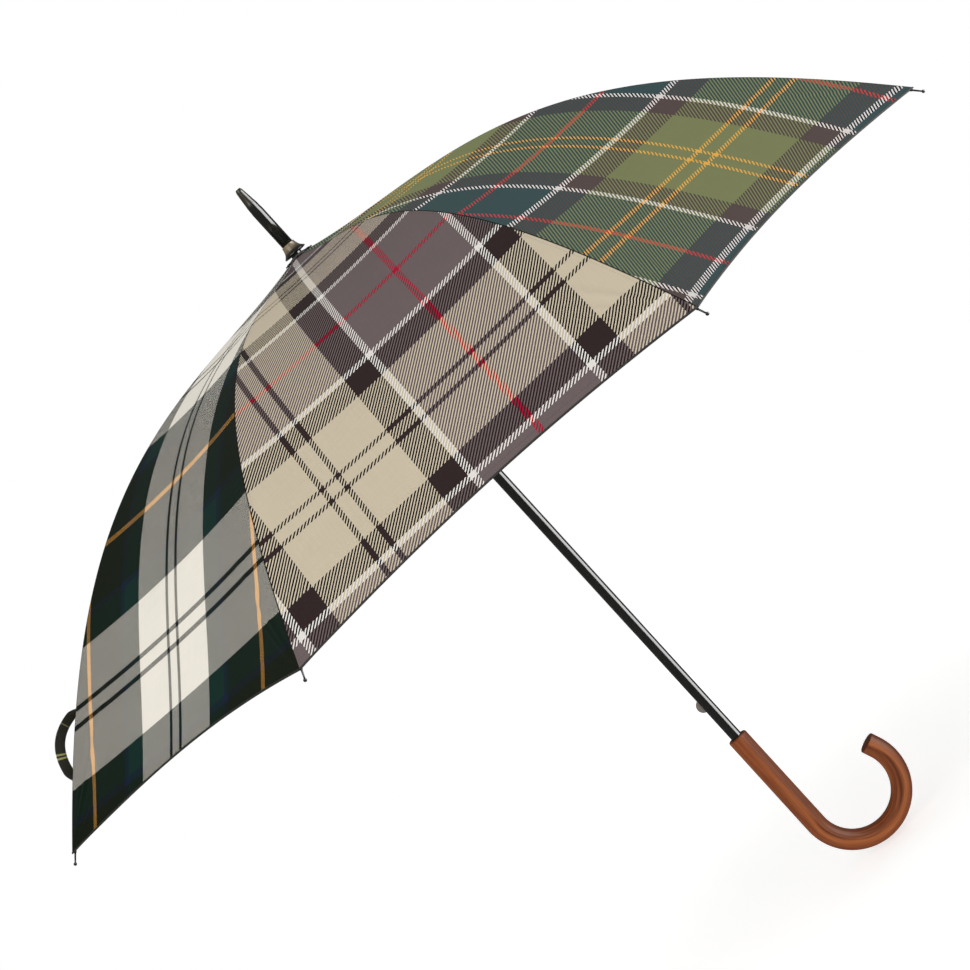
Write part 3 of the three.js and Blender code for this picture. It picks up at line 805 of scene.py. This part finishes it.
def handle_centre(stations):
    """Straight down for the first part, round a circle of the crook's radius, then straight again."""
    bend = np.clip((stations - (HANDLE_TOP - CROOK_START)) / CROOK_RADIUS, 0, CROOK_TURN)
    straight = np.minimum(stations, HANDLE_TOP - CROOK_START)
    run = stations - straight - bend * CROOK_RADIUS
    place = np.stack([
        CROOK_RADIUS * (1 - np.cos(bend)) + run * np.sin(bend),
        0 * bend,
        HANDLE_TOP - straight - CROOK_RADIUS * np.sin(bend) - run * np.cos(bend),
    ], 1)
    side = np.stack([-np.cos(bend), 0 * bend, -np.sin(bend)], 1)
    return place, side, np.tile([0, 1.0, 0], (len(bend), 1))


def handle_profile():
    """Stations and radii: up the bore, over the rounded rim, down the stick and round its end."""
    length = STICK_LENGTH
    bore = [(HANDLE_TOP - BORE_FOOT, BORE_RADIUS), (0.0006, BORE_RADIUS)]
    rim = fillet((0.0006, BORE_RADIUS), (0, BORE_RADIUS), (0, BORE_RADIUS + 0.0006), 4).tolist()
    shoulder = fillet((0, HANDLE_RADIUS - 0.0022), (0, HANDLE_RADIUS), (0.0022, HANDLE_RADIUS), 9).tolist()
    body = [(s, HANDLE_RADIUS) for s in np.linspace(0.006, length - 0.003, 170)]
    close = fillet((length - 0.0015, HANDLE_RADIUS), (length, HANDLE_RADIUS),
                   (length, HANDLE_RADIUS - 0.0017), 7)
    end = [(length + 0.0006, 0.0060), (length + 0.0010, 0.0030), (length + 0.0011, 0.0004)]
    return np.array(bore + rim + shoulder + body + close.tolist() + end)


def wood_finish():
    """Stained wood: streaks, fibres, pores and ring lines, all drawn out along the straightened stick,
    and rings round the heart on the cut end."""
    finish = Finish("stained_wood", Coat_Weight=0.06, Coat_Roughness=0.34, Specular_IOR_Level=0.12)
    stick = finish.place("straight")
    drift = finish.noise(stick, (30, 30, 5), 3.0)
    figure = finish.noise(stick, (260, 260, 9), 5.0, 0.62)
    fibres = finish.noise(stick, (1300, 1300, 28), 4.0, 0.6)
    pores = finish.noise(stick, (2600, 2600, 110), 2.0)
    rays = finish.split(stick, 0) * 420 + figure * 7 + drift * 9
    bands = rays.math("SINE") * 0.5 + 0.5
    tone = figure * 0.5 + fibres * 0.35 + bands * 0.15
    stain = finish.mix(finish.ramp(tone, 0.34, 0.64), shade(92, 42, 20), shade(170, 98, 54))
    stain = finish.mix(finish.ramp(drift, 0.35, 0.7) * 0.45, stain, shade(130, 60, 26))
    flecks = finish.ramp(pores, 0.66, 0.76)
    stain = finish.mix(flecks * 0.6, stain, shade(56, 20, 6))
    ends = finish.ramp(finish.split(stick, 2), STICK_LENGTH - 0.0017, STICK_LENGTH - 0.0001)
    from_heart = finish.length(finish.stretch(stick, 1, 1, 0))
    rounds = (from_heart * 5200 + drift * 6).math("SINE") * 0.5 + 0.5
    end_grain = finish.mix(rounds * 0.5 + pores * 0.4, shade(74, 30, 16), shade(116, 58, 34))
    stain = finish.mix(ends, stain, end_grain)
    height = fibres * 0.35 - flecks * 0.8 + bands * 0.15
    return finish.surface(Base_Color=stain, Roughness=0.42 + fibres * 0.2, height=(0.25, 0.0001, height))


def fitting(item, node, material, body="shaft"):
    """Gives a piece its material and body, and puts it in the place of its node."""
    item.data.materials.append(material)
    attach(item, body)
    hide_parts(node)


def handle():
    """The profile of radii swept along the bent centre line."""
    profile = handle_profile()
    item = rings("handle_crook", profile[:, 0], profile[:, 1], handle_centre, 72)
    fitting(item, "handle", wood_finish())
    print("handle:", len(item.data.polygons), "faces over", round(STICK_LENGTH, 3), "m of stick")


handle()

# %% [markdown]
# ## Ferrule and cup
# The spike is turned and lacquered black: a short neck, a straight stem and a tapered worn point. Its
# flared cup presses the cloth onto the crown. Both are turned pieces, so both are profiles in rings.

# %% Turned fittings


def lacquer(name, wear_and_light, tint, rough):
    """Black lacquer: near-black paint with dust and fine rubs, giving way to a tint where rubbed through; on
    the cup that tint is its lighter top, partly painted light from above.
    """
    finish = Finish(name, Coat_Weight=0.5, Coat_Roughness=0.09, Specular_IOR_Level=0.4)
    at = finish.place()
    dust = finish.noise(at, 90, 5.0)
    rubs = finish.noise(at, (1500, 1500, 60), 3.0)
    worn_and_lit = wear_and_light(finish, at)
    paint = finish.mix(dust, (0.004, 0.004, 0.004), (0.014, 0.013, 0.011))
    paint = finish.mix(worn_and_lit, paint, tint)
    level = rough + rubs * 0.05 + worn_and_lit * 0.25
    return finish.surface(Base_Color=paint, Roughness=level, height=(0.02, 0.00002, rubs * 0.5 + dust * 0.4))


def tip_wear(finish, at):
    """Scuffed brown over the spike's last part, broken up by noise."""
    scuffs = finish.noise(at, (600, 600, 260), 4.0)
    return finish.ramp(finish.split(at, 2), SPIKE_TIP - 0.0225, SPIKE_TIP - 0.019) * (0.35 + scuffs * 0.5)


def bronze_and_lit_top(finish, at):
    """Bronze on the cup's upper half, broken up by noise: partly rubbed-through lacquer, partly painted
    light on the top that faces the lamp above.
    """
    rubbed = finish.noise(at, 240, 4.0)
    return finish.ramp(finish.split(at, 2) + rubbed * 0.004, SPIKE_FOOT + 0.0030, SPIKE_FOOT + 0.0075) * 0.9


def light_wear(finish, at):
    """Small rubbed spots."""
    return finish.ramp(finish.noise(at, 380, 4.0), 0.62, 0.75) * 0.35


SPIKE = [(0.00625, SPIKE_FOOT)] + [(radius, SPIKE_TIP - below) for radius, below in (
    (0.00625, 0.029), (0.00618, 0.028), (0.0060, 0.0265), (0.00595, 0.026), (0.00575, 0.020),
    (0.00555, 0.0192), (0.0048, 0.012), (0.00385, 0.004), (0.00365, 0.0024), (0.00315, 0.0010),
    (0.00245, 0), (0.0005, 0))]
CUP = [(radius, SPIKE_FOOT + rise) for radius, rise in (
    (0.0066, 0), (0.0119, -0.0018), (0.0125, -0.0014), (0.01245, -0.0009), (0.0112, 0.0003),
    (0.0096, 0.0020), (0.0085, 0.0040), (0.0077, 0.0065), (0.0072, 0.0092), (0.00715, 0.0096),
    (0.0069, 0.0096), (0.0066, 0.0094))]


def turned_ring(name, points):
    """Turned ring: a closed profile carried round the axis, rows and columns both joined up."""
    profile = np.array(points)[:, None]
    angle = np.linspace(0, 2 * math.pi, 72, endpoint=False)[None, :]
    radius, height = profile[..., 0], profile[..., 1] + 0 * angle
    return grid_object(name, np.stack([radius * np.cos(angle), radius * np.sin(angle), height], -1)[::-1],
                       wrapped=True, looped=True)


print("fittings: spike of", len(SPIKE), "rings and cup of", len(CUP))

# %% Fittings in place


def fittings():
    spike = np.array(SPIKE)
    item = rings("spike_turned", spike[:, 1], spike[:, 0], upright, 64)
    spike_paint = lacquer("spike_lacquer", tip_wear, (0.045, 0.036, 0.018), 0.12)
    fitting(item, "ferrule_spike", spike_paint)
    cup = turned_ring("cup_turned", CUP)
    # The cup's lighter bronze top is partly painted light from above.
    fitting(cup, "ferrule_cup", lacquer("cup_lacquer", bronze_and_lit_top, (0.24, 0.18, 0.10), 0.16))
    print("fittings:", len(item.data.polygons) + len(cup.data.polygons), "faces")


fittings()

# %% [markdown]
# ## Rosette
# Under the cup lies a small disc of dark cloth with a pinked edge. It covers the points where the
# gores meet and stops rain at the crown. The disc is thin, ruffled at its rim, and its teeth are a
# triangle wave in the radius; both faces and both rims are one closed surface.

# %% Rosette
ROSETTE_RADIUS = 0.017
ROSETTE_TEETH = 24
ROSETTE_THICKNESS = 0.0006


def rosette_finish():
    """Dark cloth: the product of two sines is its plain weave, and noise is its lint."""
    finish = Finish("rosette_cloth", Sheen_Weight=0.2, Sheen_Roughness=0.5)
    at = finish.place()
    x, y = finish.split(at, 0), finish.split(at, 1)
    weave = (x / 0.0007 * 2 * math.pi).math("SINE") * (y / 0.0007 * 2 * math.pi).math("SINE")
    lint = finish.noise(at, 1500, 3.0)
    colour = finish.mix(lint, (0.004, 0.004, 0.003), (0.035, 0.034, 0.028))
    height = (0.6, 0.0003, weave * 0.4 + lint)
    return finish.surface(Base_Color=colour, Roughness=0.7 + lint * 0.2, height=height)


ROSETTE_CLOTH = rosette_finish()


def rosette():
    """Ring from the spike's neck to a pinked rim, just over the cloth, lifted by two sine ruffles."""
    columns = ROSETTE_TEETH * 12
    angle = np.linspace(0, 2 * math.pi, columns, endpoint=False)[None, :]
    t = np.linspace(0, 1, 30)[:, None]
    tooth = np.abs((angle * ROSETTE_TEETH / (2 * math.pi)) % 1 * 2 - 1)
    rim = ROSETTE_RADIUS - 0.0014 * tooth
    radius = 0.0066 + (rim - 0.0066) * t
    ruffle = 0.0005 * (1 + np.sin(7 * angle)) * t**2 + 0.00015 * np.sin(19 * angle + 1) * t**4
    top = cloth_height(radius) + 0.0013 - 0.0004 * t + ruffle
    upper = np.stack([radius * np.cos(angle), radius * np.sin(angle), top], -1)
    item = sheet_ring("rosette_disc", upper, ROSETTE_THICKNESS)
    fitting(item, "crown_rosette", ROSETTE_CLOTH)
    print("rosette:", len(item.data.polygons), "faces, top at", round(float(top.max()), 4))


rosette()

# %% [markdown]
# ## Crown patch
# Under the rosette the eight points of cloth are caught on a small patch, which is glued to the notch
# and stays with the shaft when the ribs swing down. It is an eight-cornered ring in the cloth's own
# surface, from the crown's hole to where the gores' pieces begin.

# %% Crown patch
PATCH_THICKNESS = 0.0004


def crown_patch():
    """Ring of eight straight chords between the rib lines, from the crown's hole to the patch's rim."""
    radius = np.linspace(CROWN_HOLE, PATCH_RADIUS, 8)[:, None]
    across = np.linspace(-1, 1, 9)[None, :-1]
    bays = []
    for number in range(RIBS):
        chord = [radius * math.cos(HALF_BAY) + 0 * across, across * radius * math.sin(HALF_BAY),
                 cloth_height(radius) + 0 * across]
        bays.append(turn(np.stack(chord, -1), 2 * number * HALF_BAY))
    item = sheet_ring("crown_patch", np.concatenate(bays, 1), PATCH_THICKNESS)
    item.data.materials.append(ROSETTE_CLOTH)
    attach(item, "shaft")
    print("crown patch:", len(item.data.polygons), "faces, out to", PATCH_RADIUS)


crown_patch()

# %% [markdown]
# ## Tips
# Each spring end carries a small black cap with a neck and a ball; the gore's corner is sewn to it.
# The caps catch the light as bright dots round the rim. Each is turned round its rib's own line.

# %% Tips
TIP_START = 0.549
TIP_LENGTH = 0.017
TIP_BALL = 0.0016
TIP_GAP = 0.0028
TIP_SEAT = 0.00035


def tip_profile():
    """Stations and radii: sleeve, waist, then the ball's circle from its waist round to its pole."""
    ball = TIP_LENGTH - TIP_BALL
    sleeve = [(0, 0.0004), (0, 0.0011), (0.0003, 0.0013), (0.0042, 0.0013), (0.0047, 0.00125),
              (0.0060, 0.00092), (0.0066, 0.00085), (0.0124, 0.00078)]
    sweep = np.linspace(math.radians(28), math.radians(176), 18)
    return np.array(sleeve + [(ball - TIP_BALL * math.cos(a), TIP_BALL * math.sin(a)) for a in sweep])


def tips():
    profile = tip_profile()
    slope = float(cloth_slope(TIP_START))
    outward = np.array([math.sin(slope), 0, math.cos(slope)])
    along = np.array([math.cos(slope), 0, -math.sin(slope)])
    on_cloth = np.array([TIP_START, 0, float(cloth_height(TIP_START))])
    start = on_cloth - TIP_GAP * outward + TIP_SEAT * along
    paint = lacquer("tip_enamel", light_wear, (0.2, 0.19, 0.17), 0.22)
    for number in range(1, RIBS + 1):
        angle = (2 * number - 1) * HALF_BAY

        def line(stations, angle=angle):
            """Stations along the rib's last straight part, turned to this rib."""
            place = turn(start + stations[:, None] * along, angle)
            side = turn(np.array([[0, 1.0, 0]]), angle) + 0 * place
            return place, side, np.cross(turn(along[None], angle), side)

        item = rings(f"tip_cap_{number}", profile[:, 0], profile[:, 1], line, 28)
        fitting(item, f"tip_{number}", paint, f"rib_end_{number}")
    print("tips:", RIBS, "caps of", len(item.data.polygons), "faces")


tips()

# %% [markdown]
# ## Frame and works
# The shaft, runner, ribs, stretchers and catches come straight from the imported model. They need only
# finishes, and smooth shading that keeps real edges sharp: a weld joins the loose triangles and an
# edge split keeps every edge steeper than forty degrees. Rib steel is blued and a little oiled, wire is
# bright and drawn, the catches are rubbed by fingers, and the runner is moulded black plastic.

# %% Finishes for the works
SHARP_EDGE = math.radians(40)


def steel(name, dark, light, metallic, rough, drawn):
    """Steel: drawn streaks along the piece, dull oxide patches and small rust-brown freckles."""
    finish = Finish(name, Metallic=metallic, Specular_IOR_Level=0.5)
    at = finish.place()
    streaks = finish.noise(at, drawn, 3.0)
    patches = finish.noise(at, 70, 4.0)
    freckles = finish.ramp(finish.noise(at, 700, 3.0), 0.68, 0.76)
    colour = finish.mix(finish.ramp(streaks * 0.5 + patches * 0.5, 0.35, 0.68), dark, light)
    colour = finish.mix(freckles * 0.5, colour, (0.05, 0.028, 0.016))
    level = rough + patches * 0.16 + freckles * 0.25
    return finish.surface(Base_Color=colour, Roughness=level, height=(0.2, 0.0002, streaks + patches * 0.4))


def plastic(name):
    """Moulded black plastic: fine spark texture, faint flow marks and rubbed high spots."""
    finish = Finish(name, Specular_IOR_Level=0.45)
    at = finish.place()
    grain = finish.noise(at, 1800, 2.0)
    flow = finish.noise(at, (120, 120, 25), 4.0)
    colour = finish.mix(flow, (0.006, 0.006, 0.006), (0.022, 0.022, 0.021))
    return finish.surface(Base_Color=colour, Roughness=0.36 + flow * 0.2 + grain * 0.08,
                          height=(0.25, 0.0002, grain))


def set_finish(node, material):
    """New material for a node, shaded smooth except over edges steeper than the sharp edge."""
    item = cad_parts[node]
    item.data.materials.clear()
    item.data.materials.append(material)
    item.data.polygons.foreach_set("use_smooth", np.ones(len(item.data.polygons), bool))
    weld = item.modifiers.new("weld", "WELD")
    weld.merge_threshold = 0.00001
    edges = item.modifiers.new("edges", "EDGE_SPLIT")
    edges.split_angle = SHARP_EDGE


def works():
    spring = steel("spring_steel", (0.012, 0.013, 0.016), (0.05, 0.052, 0.06), 0.85, 0.3, (900, 900, 60))
    wire = steel("steel_wire", (0.3, 0.3, 0.29), (0.55, 0.54, 0.52), 1.0, 0.22, 400)
    catch = steel("catch_steel", (0.22, 0.19, 0.165), (0.34, 0.30, 0.26), 0.45, 0.3, (1200, 1200, 80))
    moulded = plastic("moulded_plastic")
    baked = lacquer("shaft_lacquer", light_wear, (0.03, 0.028, 0.024), 0.1)
    parts = {"shaft_tube": baked, "runner": moulded, "top_notch": moulded, "stop_collar": moulded,
             "notch_wire": wire, "runner_wire": wire, "top_catch": catch, "bottom_catch": catch}
    for number in range(1, RIBS + 1):
        parts.update({f"{kind}_{number}": spring for kind in ("rib", "rib_end", "stretcher")})
    for node, material in parts.items():
        set_finish(node, material)
    print("works:", len(parts), "nodes from the packed model have finishes")


works()

# %% [markdown]
# ## Studio
# The setting is plain: a pale floor under the umbrella, a white room, one large soft light from above
# the crown, a weaker fill from the camera's side, and a tall panel at the right that is seen only in
# mirrored light and draws the bright line down the lacquered shaft. The room shows white but lights the
# umbrella less than it shows, so that the cloth keeps its folds.

# %% Floor and light


def floor():
    """Level square of pale, faintly dusty board with a glow of its own, so that it stays nearly white."""
    finish = Finish("pale_floor", Roughness=0.9)
    at = finish.place()
    dust = finish.noise(at, 3, 3.0)
    pale = finish.mix(dust, (0.92, 0.92, 0.92), (0.96, 0.96, 0.96))
    finish.shader.inputs["Emission Strength"].default_value = FLOOR_GLOW
    finish.surface(Base_Color=pale, Emission_Color=pale)
    t = np.linspace(-1, 1, 9)
    x, y = np.meshgrid(t * 2.6, t * 2.6, indexing="ij")
    item = grid_object("floor", np.stack([x, y, 0 * x + FLOOR_Z], -1))
    item.data.materials.append(finish.material)
    item.visible_glossy = False


def soft_light(name, place, aim, size, power):
    """White rectangular light at a place, turned towards an aim."""
    data = bpy.data.lights.new(name, "AREA")
    data.shape = "RECTANGLE"
    data.size, data.size_y = size
    data.energy = power
    light = bpy.data.objects.new(name, data)
    bpy.context.collection.objects.link(light)
    light.location = place
    light.rotation_euler = (Vector(place) - Vector(aim)).to_track_quat("Z", "Y").to_euler()
    return light


def room(shown, lit, mirrored):
    """World: bright where it is looked at, dimmer where it lights, dimmest where it is mirrored."""
    world = bpy.data.worlds.new("room")
    bpy.context.scene.world = world
    world.use_nodes = True
    nodes, links = world.node_tree.nodes, world.node_tree.links
    background = nodes["Background"]
    background.inputs["Color"].default_value = (1, 1, 1, 1)
    rays = nodes.new("ShaderNodeLightPath")
    level = lit
    for ray, strength in (("Is Glossy Ray", mirrored), ("Is Camera Ray", shown)):
        choice = nodes.new("ShaderNodeMix")
        links.new(rays.outputs[ray], choice.inputs[0])
        choice.inputs[3].default_value = strength
        if isinstance(level, float):
            choice.inputs[2].default_value = level
        else:
            links.new(level, choice.inputs[2])
        level = choice.outputs[0]
    links.new(level, background.inputs["Strength"])


FLOOR_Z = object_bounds()[0][2] - 0.004
FLOOR_GLOW = 0.55
floor()
room(1.0, 0.62, 0.16)
soft_light("crown_light", (-0.9, -1.6, 2.4), (0, 0, 0.6), (1.8, 1.8), 26)
fill = soft_light("fill_light", (-0.5, -2.8, 0.6), (0, 0, 0.4), (1.6, 1.6), 12)
fill.visible_glossy = False
side = soft_light("side_light", (2.0, -0.8, 0.6), (0, 0, 0.5), (2.0, 2.2), 140)
side.visible_diffuse = False
bpy.context.scene.view_settings.view_transform = "Standard"
print("floor at", round(FLOOR_Z, 3))
